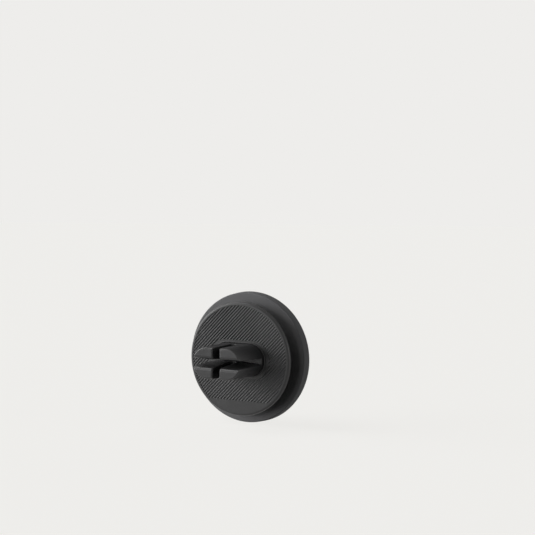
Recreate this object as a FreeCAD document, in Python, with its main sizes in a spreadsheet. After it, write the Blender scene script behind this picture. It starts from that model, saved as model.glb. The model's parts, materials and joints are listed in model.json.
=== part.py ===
"""Car vent phone mount: a magnetic puck on a ball joint, a ribbed disc and a four-prong vent clip.

Millimetres. The origin is the centre of the face that the phone sits on, +Y points at the phone and
+Z is up. A level is a distance from that face towards the vent, which lies along -Y.
"""
import FreeCAD, Part
import math
import os
import re

import Sketcher
from FreeCAD import Placement, Rotation, Vector

DRIVING_SIZES = {
    # Puck shell
    "puck_radius": 29.0,
    "puck_draft": 0.26,
    "puck_rim_setback": 0.1,
    "puck_back_round": 0.4,
    "puck_front_round": 0.5,
    "puck_side_wall": 1.3,
    "puck_front_wall": 1.44,
    "puck_crown": 0.2,
    "crown_land": 7.0,
    # Phone pad and face plate
    "pad_gap": 0.6,
    "pad_thickness": 0.6,
    "pad_edge_round": 0.25,
    "adhesive_thickness": 0.1,
    "adhesive_margin": 0.4,
    "face_plate_thickness": 0.7,
    "fit_clearance": 0.1,
    # Magnet ring
    "magnet_count": 16,
    "magnet_width": 4.2,
    "magnet_thickness": 1.5,
    "magnet_web_angle": 1.9,
    "pocket_clearance": 0.05,
    "carrier_outer_wall": 0.8,
    "carrier_inner_wall": 1.4,
    "shunt_thickness": 0.4,
    # Screws that close the puck
    "post_count": 4,
    "post_circle_radius": 14.5,
    "post_wall": 1.1,
    "face_screw_radius": 0.8,
    "face_screw_length": 1.6,
    "face_screw_head_radius": 1.7,
    "face_screw_head_height": 0.4,
    "screw_clearance": 0.02,
    # Ball joint
    "ball_floor_gap": 0.7,
    "ball_radius": 3.6,
    "neck_radius": 2.2,
    "neck_length": 0.2,
    "running_clearance": 0.05,
    "liner_thickness": 0.6,
    "liner_top_angle": 58.0,
    "liner_bottom_angle": 128.0,
    "liner_split_width": 0.7,
    "socket_shell": 2.15,
    "socket_tube_wall": 1.5,
    "boss_wall": 1.95,
    "boss_spread": 2.6,
    "boss_above_ball": 0.5,
    "seat_opening_radius": 2.9,
    "seat_collar_gap": 0.12,
    "collar_drop": 0.3,
    "collar_flange_overlap": 0.55,
    "collar_flange_height": 0.5,
    "collar_lip_rise": 1.7,
    "collar_lip_land": 1.0,
    "collar_notch_count": 4,
    "collar_notch_width": 1.2,
    "collar_notch_depth": 0.9,
    "spring_thickness": 0.3,
    "spring_width": 2.3,
    # Back plate and ribbed cover
    "back_plate_thickness": 1.57,
    "back_plate_rim": 0.55,
    "back_plate_rim_width": 1.4,
    "back_plate_hub_radius": 14.0,
    "disc_radius": 25.0,
    "disc_rim_height": 1.72,
    "disc_edge_round": 1.1,
    "disc_skirt_wall": 1.15,
    "cover_thickness": 1.1,
    "rib_rim_width": 1.5,
    "segment_height": 5.3,
    "rib_pitch": 1.1,
    "rib_angle": 45.0,
    "groove_depth": 0.3,
    "groove_mouth_width": 0.88,
    "groove_floor_width": 0.14,
    "border_side": 2.4,
    "border_top": 1.3,
    "lip_width": 0.55,
    "lip_height": 0.5,
    # Stud fixing
    "shank_radius": 1.6,
    "stud_screw_radius": 0.9,
    "stud_screw_length": 3.2,
    "stud_hole_spare": 0.4,
    "stud_screw_head_radius": 2.4,
    "stud_screw_head_height": 1.0,
    "washer_radius": 3.4,
    "washer_thickness": 0.35,
    "stud_side_room": 0.5,
    "stud_head_room": 0.35,
    # Vent clip
    "stem_length": 19.13,
    "stem_half_length": 12.8,
    "stem_half_height": 7.0,
    "stem_side_taper": 1.15,
    "stem_top_taper": 0.35,
    "tip_edge_round": 0.5,
    "flange_thickness": 0.8,
    "flange_overlap": 1.6,
    "cross_slot_half": 1.75,
    "cross_slot_middle_half": 0.3,
    "cross_slot_side_half": 1.35,
    "cross_slot_mouth_round": 1.5,
    "cross_slot_root": 2.1,
    "upright_slot_half": 1.62,
    "upright_slot_mouth_round": 0.8,
    "upright_slot_root": 3.5,
}

DERIVED_SIZES = {
    "cavity_radius": "puck_radius - puck_side_wall",
    "puck_front_radius": "puck_radius - puck_draft",
    "pad_radius": "cavity_radius - pad_gap",
    "insert_radius": "cavity_radius - fit_clearance",
    "magnet_outer_radius": "cavity_radius - carrier_outer_wall",
    "magnet_inner_radius": "magnet_outer_radius - magnet_width",
    "carrier_inner_radius": "magnet_inner_radius - carrier_inner_wall",
    "magnet_half_angle": "180 / magnet_count - magnet_web_angle / 2",
    "face_plate_level": "pad_thickness + adhesive_thickness",
    "magnet_level": "face_plate_level + face_plate_thickness",
    "shunt_level": "magnet_level + magnet_thickness",
    "wall_level": "shunt_level + shunt_thickness",
    "puck_depth": "wall_level + puck_front_wall",
    "post_hole_radius": "face_screw_radius + screw_clearance",
    "ball_level": "magnet_level + ball_floor_gap + ball_radius",
    "liner_inner_radius": "ball_radius + running_clearance",
    "liner_outer_radius": "liner_inner_radius + liner_thickness",
    "socket_radius": "liner_outer_radius + running_clearance",
    "socket_bore_radius": "socket_radius + socket_shell",
    "socket_insert_radius": "socket_bore_radius - running_clearance",
    "boss_radius": "socket_bore_radius + boss_wall",
    "boss_level": "ball_level + boss_above_ball",
    "seat_drop": "sqrt(socket_radius ^ 2 - seat_opening_radius ^ 2)",
    "seat_level": "ball_level - seat_drop",
    "seat_height": "seat_drop - collar_drop - seat_collar_gap",
    "collar_level": "ball_level - collar_drop",
    "collar_flange_radius": "socket_bore_radius + collar_flange_overlap",
    "collar_lip_radius": "sqrt(socket_radius ^ 2 - collar_lip_rise ^ 2)",
    "neck_top": "sqrt(ball_radius ^ 2 - neck_radius ^ 2) + neck_length",
    "hub_level": "ball_level + neck_top + running_clearance",
    "cover_level": "hub_level + back_plate_thickness",
    "disc_level": "cover_level + cover_thickness",
    "plate_web": "back_plate_thickness - flange_thickness",
    "flange_level": "hub_level + plate_web",
    "shank_top": "neck_top + plate_web + 2 * running_clearance",
    "disc_skirt_depth": "disc_rim_height - cover_thickness",
    "disc_skirt_radius": "disc_radius - disc_skirt_wall",
    "back_plate_radius": "disc_skirt_radius - running_clearance",
    "rib_field_radius": "disc_radius - rib_rim_width",
    "segment_drop": "rib_field_radius - segment_height",
    "groove_count": "2 * floor(rib_field_radius / rib_pitch) + 1",
    "border_half_length": "stem_half_length + border_side",
    "border_half_height": "stem_half_height + border_top",
    "clip_hole_half_length": "stem_half_length + running_clearance",
    "clip_hole_half_height": "stem_half_height + running_clearance",
    "stem_start": "flange_thickness + cover_thickness",
    "stem_end": "stem_start + stem_length",
}

SHEET = "sizes"
LEFT = 1
RIGHT = -1
FULL_TURN = 360.0
MATCH = 1e-4
FACE_THE_VENT = Rotation(Vector(1, 0, 0), 90)

doc = FreeCAD.newDocument("vent_phone_mount")
sheet = doc.addObject("Spreadsheet::Sheet", SHEET)
sub_parts = []


def fill_sheet():
    """Write each driving size as a number and each derived one as a formula, with its alias."""
    rows = {alias: str(value) for alias, value in DRIVING_SIZES.items()}
    rows.update({alias: "=" + rule for alias, rule in DERIVED_SIZES.items()})
    for row, (alias, content) in enumerate(rows.items(), 1):
        sheet.set(f"A{row}", alias)
        sheet.set(f"B{row}", content)
        sheet.setAlias(f"B{row}", alias)
    doc.recompute()


def formula(text):
    """Turn the words that are sheet aliases into references to the sheet."""
    def refer(match):
        word = match.group()
        known = word in DRIVING_SIZES or word in DERIVED_SIZES
        return f"{SHEET}.{word}" if known else word

    return re.sub(r"[a-z_]+", refer, text)


def number(text):
    """The present value of a formula."""
    return float(sheet.evalExpression(formula(text)))


def bind(feature, **rules):
    """Tie properties of a feature to formulas, such as Length="pad_thickness"."""
    for name, rule in rules.items():
        feature.setExpression(name, formula(rule))


def new_body(label, level="0"):
    """A body whose own Z runs towards the vent from the given level, and whose Y is up."""
    body = doc.addObject("PartDesign::Body", label)
    body.Label = label
    body.AllowCompound = True
    body.Placement = Placement(Vector(0, 0, 0), FACE_THE_VENT)
    body.setExpression("Placement.Base.y", formula(f"-({level})"))
    sub_parts.append(body)
    return body


def sketch_on(body, name, plane, lift="0"):
    """An empty sketch on one of the body's own planes, lifted along its normal."""
    sketch = body.newObject("Sketcher::SketchObject", f"{body.Name}_{name}")
    support = next(f for f in body.Origin.OriginFeatures if f.Role == plane)
    sketch.AttachmentSupport = [(support, "")]
    sketch.MapMode = "FlatFace"
    sketch.setExpression("AttachmentOffset.Base.z", formula(lift))
    return sketch


def constrain(sketch, rule, kind, *where):
    """Add one dimension to a sketch and bind it to a formula."""
    index = sketch.addConstraint(Sketcher.Constraint(kind, *where, number(rule)))
    sketch.setExpression(f"Constraints[{index}]", formula(rule))


def place(sketch, geometry, position, x, y):
    """Fix a point of the sketch by its two distances from the sketch's origin."""
    constrain(sketch, x, "DistanceX", -1, 1, geometry, position)
    constrain(sketch, y, "DistanceY", -1, 1, geometry, position)


def draw_loop(sketch, corners):
    """Close a loop through corners (x, y), or (x, y, radius, turn) where an arc leads to the corner."""
    spots = [Vector(number(corner[0]), number(corner[1]), 0) for corner in corners]
    edges = []
    for index, corner in enumerate(corners):
        start = spots[index - 1]
        end = spots[index]
        if len(corner) == 2:
            edges.append((sketch.addGeometry(Part.LineSegment(start, end)), 1, 2))
            continue
        radius = number(corner[2])
        turn = corner[3]
        chord = end - start
        across = Vector(-chord.y, chord.x, 0).normalize() * turn
        sagitta = radius - math.sqrt(radius**2 - (chord.Length / 2) ** 2)
        crest = (start + end) * 0.5 - across * sagitta
        arc = sketch.addGeometry(Part.Arc(start, crest, end))
        edges.append((arc, 1, 2) if turn == LEFT else (arc, 2, 1))
    for index, corner in enumerate(corners):
        edge, _, end_position = edges[index]
        following, start_position, _ = edges[(index + 1) % len(edges)]
        joined = Sketcher.Constraint("Coincident", edge, end_position, following, start_position)
        sketch.addConstraint(joined)
        place(sketch, edge, end_position, corner[0], corner[1])
        if len(corner) > 2:
            constrain(sketch, corner[2], "Radius", edge)


def draw_circle(sketch, radius, x="0", y="0"):
    """A circle of a bound radius about a bound centre."""
    centre = Vector(number(x), number(y), 0)
    circle = sketch.addGeometry(Part.Circle(centre, Vector(0, 0, 1), number(radius)))
    place(sketch, circle, 3, x, y)
    constrain(sketch, radius, "Radius", circle)


def draw_oblong(sketch, half_length, half_height):
    """A flat-sided oblong with full-round ends, centred on the sketch's origin."""
    straight = f"({half_length}) - ({half_height})"
    reach = number(straight)
    radius = number(half_height)
    upward = Vector(0, 0, 1)
    quarter = math.pi / 2
    right = Part.ArcOfCircle(Part.Circle(Vector(reach, 0, 0), upward, radius), -quarter, quarter)
    left = Part.ArcOfCircle(Part.Circle(Vector(-reach, 0, 0), upward, radius), quarter, 3 * quarter)
    top = Part.LineSegment(Vector(reach, radius, 0), Vector(-reach, radius, 0))
    bottom = Part.LineSegment(Vector(-reach, -radius, 0), Vector(reach, -radius, 0))
    loop = [sketch.addGeometry(piece) for piece in (right, top, left, bottom)]
    for index, edge in enumerate(loop):
        following = loop[(index + 1) % len(loop)]
        sketch.addConstraint(Sketcher.Constraint("Tangent", edge, 2, following, 1))
    sketch.addConstraint(Sketcher.Constraint("Equal", loop[0], loop[2]))
    place(sketch, loop[0], 3, straight, "0")
    place(sketch, loop[2], 3, f"-({straight})", "0")
    constrain(sketch, half_height, "Radius", loop[0])


def revolve(body, name, corners):
    """Turn a profile of (radius, level) corners about the body's axis."""
    profile = sketch_on(body, f"{name}_profile", "XZ_Plane")
    draw_loop(profile, corners)
    turned = body.newObject("PartDesign::Revolution", f"{body.Name}_{name}")
    turned.Profile = profile
    turned.ReferenceAxis = (profile, ["V_Axis"])
    turned.Angle = FULL_TURN
    return turned


def extrude(body, kind, name, sketch, length, **options):
    """Pad or pocket a sketch by a bound length."""
    feature = body.newObject(f"PartDesign::{kind}", f"{body.Name}_{name}")
    feature.Profile = sketch
    for option, value in options.items():
        setattr(feature, option, value)
    bind(feature, Length=length)
    return feature


def repeat_round(body, name, feature, count):
    """Copy a feature round the body's axis."""
    pattern = body.newObject("PartDesign::PolarPattern", f"{body.Name}_{name}")
    pattern.Originals = [feature]
    pattern.Axis = (feature.Profile[0], ["N_Axis"])
    pattern.Angle = FULL_TURN
    bind(pattern, Occurrences=count)
    body.Tip = pattern
    return pattern


def round_edges(body, name, feature, radius, chosen):
    """Fillet the edges of a feature that pass a test."""
    doc.recompute()
    fillet = body.newObject("PartDesign::Fillet", f"{body.Name}_{name}")
    names = [f"Edge{i}" for i, edge in enumerate(feature.Shape.Edges, 1) if chosen(edge)]
    fillet.Base = (feature, names)
    bind(fillet, Radius=radius)
    return fillet


def draw_magnet_sector(sketch, clearance):
    """One arc-shaped sector of the magnet ring, grown by a clearance all round."""
    inner = f"(magnet_inner_radius - {clearance})"
    outer = f"(magnet_outer_radius + {clearance})"
    angle = f"(magnet_half_angle + {clearance} / magnet_inner_radius * 180 / pi)"
    draw_loop(sketch, [
        (f"{inner} * cos({angle})", f"-{inner} * sin({angle})", inner, RIGHT),
        (f"{outer} * cos({angle})", f"-{outer} * sin({angle})"),
        (f"{outer} * cos({angle})", f"{outer} * sin({angle})", outer, LEFT),
        (f"{inner} * cos({angle})", f"{inner} * sin({angle})"),
    ])


def draw_rib_field(sketch):
    """Outline of the ribbed area: the disc inside its rim, cut off by a level chord below."""
    chord = "sqrt(rib_field_radius ^ 2 - segment_drop ^ 2)"
    draw_loop(sketch, [
        (f"-{chord}", "-segment_drop", "rib_field_radius", LEFT),
        (chord, "-segment_drop"),
        ("0", "rib_field_radius", "rib_field_radius", LEFT),
    ])


def draw_cross_slot(sketch, root_half):
    """Section of the level slot: a rounded mouth, and walls that lean in to a root of this half width."""
    root = "stem_start + cross_slot_root"
    mouth = "cross_slot_half + cross_slot_mouth_round"
    beyond = "stem_end + cross_slot_mouth_round"
    draw_loop(sketch, [
        (f"-{root_half}", root),
        (root_half, root),
        ("cross_slot_half", "stem_end - cross_slot_mouth_round"),
        (mouth, "stem_end", "cross_slot_mouth_round", RIGHT),
        (mouth, beyond),
        (f"-({mouth})", beyond),
        (f"-({mouth})", "stem_end"),
        ("-cross_slot_half", "stem_end - cross_slot_mouth_round", "cross_slot_mouth_round", RIGHT),
    ])


def make_phone_pad():
    """Soft disc that the phone lies on."""
    body = new_body("phone_pad")
    revolve(body, "disc", [
        ("0", "0"),
        ("pad_radius - pad_edge_round", "0"),
        ("pad_radius", "pad_edge_round", "pad_edge_round", LEFT),
        ("pad_radius", "pad_thickness"),
        ("0", "pad_thickness"),
    ])


def make_pad_adhesive():
    """Film that bonds the pad to the face plate."""
    body = new_body("pad_adhesive", "pad_thickness")
    outline = sketch_on(body, "outline", "XY_Plane")
    draw_circle(outline, "pad_radius - adhesive_margin")
    extrude(body, "Pad", "film", outline, "adhesive_thickness")


def make_face_plate():
    """Thin cover that closes the puck, counterbored for its screws."""
    body = new_body("face_plate", "face_plate_level")
    outline = sketch_on(body, "outline", "XY_Plane")
    draw_circle(outline, "insert_radius")
    extrude(body, "Pad", "disc", outline, "face_plate_thickness")
    hole = sketch_on(body, "hole_circle", "XY_Plane")
    draw_circle(hole, "face_screw_radius + fit_clearance", "post_circle_radius")
    through = extrude(body, "Pocket", "hole", hole, "face_plate_thickness", Reversed=True)
    repeat_round(body, "holes", through, "post_count")
    recess = sketch_on(body, "recess_circle", "XY_Plane")
    draw_circle(recess, "face_screw_head_radius + fit_clearance", "post_circle_radius")
    sunk = extrude(body, "Pocket", "recess", recess, "face_screw_head_height", Reversed=True)
    repeat_round(body, "recesses", sunk, "post_count")


def make_face_screws():
    """Flat-headed screws that hold the face plate to the posts."""
    body = new_body("face_screws", "face_plate_level")
    head = sketch_on(body, "head_circle", "XY_Plane")
    draw_circle(head, "face_screw_head_radius", "post_circle_radius")
    heads = extrude(body, "Pad", "head", head, "face_screw_head_height")
    repeat_round(body, "heads", heads, "post_count")
    shank = sketch_on(body, "shank_circle", "XY_Plane", "face_screw_head_height")
    draw_circle(shank, "face_screw_radius", "post_circle_radius")
    shanks = extrude(body, "Pad", "shank", shank, "face_screw_length")
    repeat_round(body, "shanks", shanks, "post_count")


def make_magnet_carrier():
    """Plastic ring with a pocket for each magnet."""
    body = new_body("magnet_carrier", "magnet_level")
    outline = sketch_on(body, "outline", "XY_Plane")
    draw_circle(outline, "insert_radius")
    draw_circle(outline, "carrier_inner_radius")
    extrude(body, "Pad", "ring", outline, "magnet_thickness")
    sector = sketch_on(body, "pocket_sector", "XY_Plane")
    draw_magnet_sector(sector, "pocket_clearance")
    pocket = extrude(body, "Pocket", "pocket", sector, "magnet_thickness", Reversed=True)
    repeat_round(body, "pockets", pocket, "magnet_count")


def make_ring_magnets():
    """Ring of arc magnets that grips the phone."""
    body = new_body("ring_magnets", "magnet_level")
    sector = sketch_on(body, "sector", "XY_Plane")
    draw_magnet_sector(sector, "0")
    magnet = extrude(body, "Pad", "magnet", sector, "magnet_thickness")
    repeat_round(body, "ring", magnet, "magnet_count")


def make_shunt_ring():
    """Steel ring that turns the magnets' field towards the phone."""
    body = new_body("shunt_ring", "shunt_level")
    outline = sketch_on(body, "outline", "XY_Plane")
    draw_circle(outline, "magnet_outer_radius")
    draw_circle(outline, "magnet_inner_radius")
    extrude(body, "Pad", "ring", outline, "shunt_thickness")


def make_puck_housing():
    """Moulded shell of the puck, with the ball socket's boss and the screw posts."""
    body = new_body("puck_housing")
    tube = "socket_bore_radius + socket_tube_wall"
    revolve(body, "shell", [
        ("cavity_radius", "puck_rim_setback"),
        ("puck_radius - puck_back_round", "puck_rim_setback"),
        ("puck_radius", "puck_rim_setback + puck_back_round", "puck_back_round", LEFT),
        ("puck_front_radius", "puck_depth - puck_front_round"),
        ("puck_front_radius - puck_front_round", "puck_depth", "puck_front_round", LEFT),
        ("puck_radius - crown_land", "puck_depth + puck_crown"),
        ("boss_radius + boss_spread", "puck_depth + puck_crown"),
        ("boss_radius", "boss_level"),
        ("socket_bore_radius", "boss_level"),
        ("socket_bore_radius", "magnet_level"),
        (tube, "magnet_level"),
        (tube, "wall_level"),
        ("cavity_radius", "wall_level"),
    ])
    circles = sketch_on(body, "post_circles", "XY_Plane", "wall_level")
    draw_circle(circles, "post_hole_radius + post_wall", "post_circle_radius")
    draw_circle(circles, "post_hole_radius", "post_circle_radius")
    post = extrude(body, "Pad", "post", circles, "wall_level - magnet_level", Reversed=True)
    repeat_round(body, "posts", post, "post_count")


def make_disc_spring():
    """Conical spring that presses the ball seat against the ball."""
    body = new_body("disc_spring", "magnet_level")
    outer = "socket_insert_radius - fit_clearance"
    inner = f"{outer} - spring_width"
    top = "seat_level - magnet_level"
    revolve(body, "cone", [
        (outer, "0"),
        (outer, "spring_thickness"),
        (inner, top),
        (inner, f"{top} - spring_thickness"),
    ])


def make_ball_seat():
    """Ring with a spherical seat under the ball."""
    body = new_body("ball_seat", "seat_level")
    top_radius = "sqrt(socket_radius ^ 2 - (seat_drop - seat_height) ^ 2)"
    revolve(body, "ring", [
        ("seat_opening_radius", "0", "socket_radius", RIGHT),
        ("socket_insert_radius", "0"),
        ("socket_insert_radius", "seat_height"),
        (top_radius, "seat_height"),
    ])


def make_ball_liner():
    """Split spherical liner between the ball and its socket."""
    body = new_body("ball_liner", "ball_level")
    revolve(body, "zone", [
        (
            "liner_inner_radius * sin(liner_top_angle)",
            "liner_inner_radius * cos(liner_top_angle)",
            "liner_inner_radius",
            LEFT,
        ),
        ("liner_outer_radius * sin(liner_top_angle)", "liner_outer_radius * cos(liner_top_angle)"),
        (
            "liner_outer_radius * sin(liner_bottom_angle)",
            "liner_outer_radius * cos(liner_bottom_angle)",
            "liner_outer_radius",
            RIGHT,
        ),
        ("liner_inner_radius * sin(liner_bottom_angle)", "liner_inner_radius * cos(liner_bottom_angle)"),
    ])
    split = sketch_on(body, "split_outline", "XY_Plane", "-liner_outer_radius")
    draw_loop(split, [
        ("0", "-liner_split_width / 2"),
        ("2 * liner_outer_radius", "-liner_split_width / 2"),
        ("2 * liner_outer_radius", "liner_split_width / 2"),
        ("0", "liner_split_width / 2"),
    ])
    extrude(body, "Pocket", "split", split, "2 * liner_outer_radius", Reversed=True)


def make_socket_collar():
    """Screwed ring that keeps the ball in its socket, notched for a pin spanner."""
    body = new_body("socket_collar", "collar_level")
    seat_edge = "sqrt(socket_radius ^ 2 - collar_drop ^ 2)"
    shoulder = "boss_level - collar_level"
    crest = "collar_drop + collar_lip_rise"
    revolve(body, "ring", [
        (seat_edge, "0", "socket_radius", RIGHT),
        ("socket_insert_radius", "0"),
        ("socket_insert_radius", shoulder),
        ("collar_flange_radius", shoulder),
        ("collar_flange_radius", f"{shoulder} + collar_flange_height"),
        ("collar_lip_radius + collar_lip_land", crest),
        ("collar_lip_radius", crest),
    ])
    notch = sketch_on(body, "notch_outline", "XY_Plane", shoulder)
    inside = "collar_flange_radius - collar_notch_depth"
    draw_loop(notch, [
        (inside, "-collar_notch_width / 2"),
        ("2 * collar_flange_radius", "-collar_notch_width / 2"),
        ("2 * collar_flange_radius", "collar_notch_width / 2"),
        (inside, "collar_notch_width / 2"),
    ])
    cut = extrude(body, "Pocket", "notch", notch, "collar_flange_radius", Reversed=True)
    repeat_round(body, "notches", cut, "collar_notch_count")


def make_ball_stud():
    """Ball with a short neck and a shank that turns in the back plate."""
    body = new_body("ball_stud", "ball_level")
    hole = "stud_screw_radius + screw_clearance"
    hole_floor = "shank_top + washer_thickness - stud_screw_length - stud_hole_spare"
    revolve(body, "ball", [
        ("0", "-ball_radius"),
        ("neck_radius", "neck_top - neck_length", "ball_radius", LEFT),
        ("neck_radius", "neck_top"),
        ("shank_radius", "neck_top"),
        ("shank_radius", "shank_top"),
        (hole, "shank_top"),
        (hole, hole_floor),
        ("0", hole_floor),
    ])


def make_stud_washer():
    """Friction washer between the stud's screw and the back plate."""
    body = new_body("stud_washer", "ball_level + shank_top")
    outline = sketch_on(body, "outline", "XY_Plane")
    draw_circle(outline, "washer_radius")
    draw_circle(outline, "stud_screw_radius + screw_clearance")
    extrude(body, "Pad", "ring", outline, "washer_thickness")


def make_stud_screw():
    """Screw that holds the stud to the back plate."""
    body = new_body("stud_screw", "ball_level + shank_top + washer_thickness")
    revolve(body, "screw", [
        ("0", "-stud_screw_length"),
        ("stud_screw_radius", "-stud_screw_length"),
        ("stud_screw_radius", "0"),
        ("stud_screw_head_radius", "0"),
        ("stud_screw_head_radius", "stud_screw_head_height"),
        ("0", "stud_screw_head_height"),
    ])


def make_back_plate():
    """Rigid plate behind the ribbed cover, thin at its rim, recessed for the clip's flange."""
    body = new_body("back_plate", "hub_level")
    rim_floor = "back_plate_thickness - back_plate_rim"
    revolve(body, "plate", [
        ("shank_radius + running_clearance", "0"),
        ("back_plate_hub_radius", "0"),
        ("back_plate_radius - back_plate_rim_width", rim_floor),
        ("back_plate_radius", rim_floor),
        ("back_plate_radius", "back_plate_thickness"),
        ("shank_radius + running_clearance", "back_plate_thickness"),
    ])
    recess = sketch_on(body, "recess_outline", "XY_Plane", "plate_web")
    overlap = "flange_overlap + fit_clearance"
    draw_oblong(recess, f"stem_half_length + {overlap}", f"stem_half_height + {overlap}")
    extrude(body, "Pocket", "recess", recess, "flange_thickness", Reversed=True)


def make_ribbed_cover():
    """Cover of the vent-side disc: diagonal ribs inside a smooth rim, segment and clip border."""
    body = new_body("ribbed_cover", "cover_level")
    field = sketch_on(body, "field_outline", "XY_Plane")
    draw_rib_field(field)
    draw_oblong(field, "border_half_length", "border_half_height")
    extrude(body, "Pad", "field", field, "cover_thickness")

    section = sketch_on(body, "groove_section", "XZ_Plane")
    section.AttachmentOffset = Placement(Vector(0, 0, 0), Rotation(Vector(0, 1, 0), 90))
    bind(section, **{"AttachmentOffset.Rotation.Angle": "90 + rib_angle"})
    first = "-(groove_count - 1) / 2 * rib_pitch"
    floor_level = "cover_thickness - groove_depth"
    draw_loop(section, [
        (f"{first} - groove_floor_width / 2", floor_level),
        (f"{first} + groove_floor_width / 2", floor_level),
        (f"{first} + groove_mouth_width / 2", "cover_thickness"),
        (f"{first} + groove_mouth_width / 2", "cover_thickness + groove_depth"),
        (f"{first} - groove_mouth_width / 2", "cover_thickness + groove_depth"),
        (f"{first} - groove_mouth_width / 2", "cover_thickness"),
    ])
    groove = extrude(body, "Pocket", "groove", section, "4 * rib_field_radius", SideType="Symmetric")
    grooves = body.newObject("PartDesign::LinearPattern", "ribbed_cover_grooves")
    grooves.Originals = [groove]
    grooves.Direction = (section, ["H_Axis"])
    bind(grooves, Length="(groove_count - 1) * rib_pitch", Occurrences="groove_count")
    body.Tip = grooves

    border = sketch_on(body, "border_outline", "XY_Plane")
    draw_oblong(border, "border_half_length", "border_half_height")
    draw_oblong(border, "clip_hole_half_length", "clip_hole_half_height")
    extrude(body, "Pad", "border", border, "cover_thickness")
    lip = sketch_on(body, "lip_outline", "XY_Plane", "cover_thickness")
    draw_oblong(lip, "clip_hole_half_length + lip_width", "clip_hole_half_height + lip_width")
    draw_oblong(lip, "clip_hole_half_length", "clip_hole_half_height")
    extrude(body, "Pad", "lip", lip, "lip_height")

    rim = sketch_on(body, "rim_outline", "XY_Plane")
    draw_circle(rim, "disc_radius")
    draw_rib_field(rim)
    extrude(body, "Pad", "rim", rim, "cover_thickness")
    skirt = sketch_on(body, "skirt_outline", "XY_Plane")
    draw_circle(skirt, "disc_radius")
    draw_circle(skirt, "disc_skirt_radius")
    edge = extrude(body, "Pad", "skirt", skirt, "disc_skirt_depth", Reversed=True)
    radius = number("disc_radius")
    front = number("cover_thickness")

    def is_front_edge(candidate):
        if not isinstance(candidate.Curve, Part.Circle):
            return False
        centre = candidate.Curve.Center
        return abs(candidate.Curve.Radius - radius) < MATCH and abs(centre.z - front) < MATCH

    round_edges(body, "edge", edge, "disc_edge_round", is_front_edge)


def make_vent_clip():
    """Rubber clip: a flanged oblong stem, split into four prongs by two crossing slots."""
    body = new_body("vent_clip", "flange_level")
    flange = sketch_on(body, "flange_outline", "XY_Plane")
    draw_oblong(flange, "stem_half_length + flange_overlap", "stem_half_height + flange_overlap")
    extrude(body, "Pad", "flange", flange, "flange_thickness")
    neck = sketch_on(body, "neck_outline", "XY_Plane", "flange_thickness")
    draw_oblong(neck, "stem_half_length", "stem_half_height")
    extrude(body, "Pad", "neck", neck, "cover_thickness")

    base = sketch_on(body, "stem_base", "XY_Plane", "stem_start")
    draw_oblong(base, "stem_half_length", "stem_half_height")
    tip = sketch_on(body, "stem_tip", "XY_Plane", "stem_end")
    draw_oblong(tip, "stem_half_length - stem_side_taper", "stem_half_height - stem_top_taper")
    stem = body.newObject("PartDesign::AdditiveLoft", "vent_clip_stem")
    stem.Profile = base
    stem.Sections = [tip]
    stem.Ruled = True
    end = number("stem_end")
    round_edges(
        body, "tip_edge", stem, "tip_edge_round",
        lambda edge: all(abs(vertex.Z - end) < MATCH for vertex in edge.Vertexes),
    )

    sections = []
    for name, lift, root_half in (
        ("left", "-stem_half_length", "cross_slot_side_half"),
        ("middle", "0", "cross_slot_middle_half"),
        ("right", "stem_half_length", "cross_slot_side_half"),
    ):
        section = sketch_on(body, f"cross_slot_{name}", "YZ_Plane", lift)
        draw_cross_slot(section, root_half)
        sections.append(section)
    cross = body.newObject("PartDesign::SubtractiveLoft", "vent_clip_cross_slot")
    cross.Profile = sections[0]
    cross.Sections = sections[1:]
    cross.Ruled = True

    upright = sketch_on(body, "upright_slot_outline", "XZ_Plane")
    upright_root = "stem_start + upright_slot_root"
    upright_mouth = "upright_slot_half + upright_slot_mouth_round"
    beyond = "stem_end + upright_slot_mouth_round"
    draw_loop(upright, [
        ("-upright_slot_half", f"{upright_root} + upright_slot_half"),
        ("0", upright_root, "upright_slot_half", LEFT),
        ("upright_slot_half", f"{upright_root} + upright_slot_half", "upright_slot_half", LEFT),
        ("upright_slot_half", "stem_end - upright_slot_mouth_round"),
        (upright_mouth, "stem_end", "upright_slot_mouth_round", RIGHT),
        (upright_mouth, beyond),
        (f"-({upright_mouth})", beyond),
        (f"-({upright_mouth})", "stem_end"),
        ("-upright_slot_half", "stem_end - upright_slot_mouth_round", "upright_slot_mouth_round", RIGHT),
    ])
    extrude(body, "Pocket", "upright_slot", upright, "4 * stem_half_height", SideType="Symmetric")

    room = sketch_on(body, "stud_room_circle", "XY_Plane")
    draw_circle(room, "washer_radius + stud_side_room")
    depth = "running_clearance + washer_thickness + stud_screw_head_height + stud_head_room"
    extrude(body, "Pocket", "stud_room", room, depth, Reversed=True)


def check_document():
    """Stop if any object failed to build or any sub-part has no sound shape."""
    doc.recompute()
    for item in doc.Objects:
        if "Invalid" in item.State or "Error" in item.State:
            raise RuntimeError(f"{item.Label} failed to build: {item.State}")
    for part in sub_parts:
        if part.Shape.isNull() or not part.Shape.isValid() or not part.Shape.Solids:
            raise RuntimeError(f"{part.Label} has no sound solid")


def export_parts():
    """Write each sub-part to its own file, named by its label."""
    os.makedirs("parts", exist_ok=True)
    for part in sub_parts:
        part.Shape.exportStep(f"parts/{part.Label}.step")


fill_sheet()
make_phone_pad()
make_pad_adhesive()
make_face_plate()
make_face_screws()
make_magnet_carrier()
make_ring_magnets()
make_shunt_ring()
make_puck_housing()
make_disc_spring()
make_ball_seat()
make_ball_liner()
make_socket_collar()
make_ball_stud()
make_stud_washer()
make_stud_screw()
make_back_plate()
make_ribbed_cover()
make_vent_clip()
check_document()
export_parts()
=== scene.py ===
"""Looks of a car vent phone mount: a magnetic puck, a ribbed disc and a four-prong vent clip.

Sizes are in millimetres and turn to metres where a mesh or a pattern is made. A level is a distance from
the face that the phone sits on, along -Y towards the vent. X is to the right and Z is up.
"""

import json
import logging
import math
from collections.abc import Callable
from dataclasses import dataclass
from enum import Enum

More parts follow.
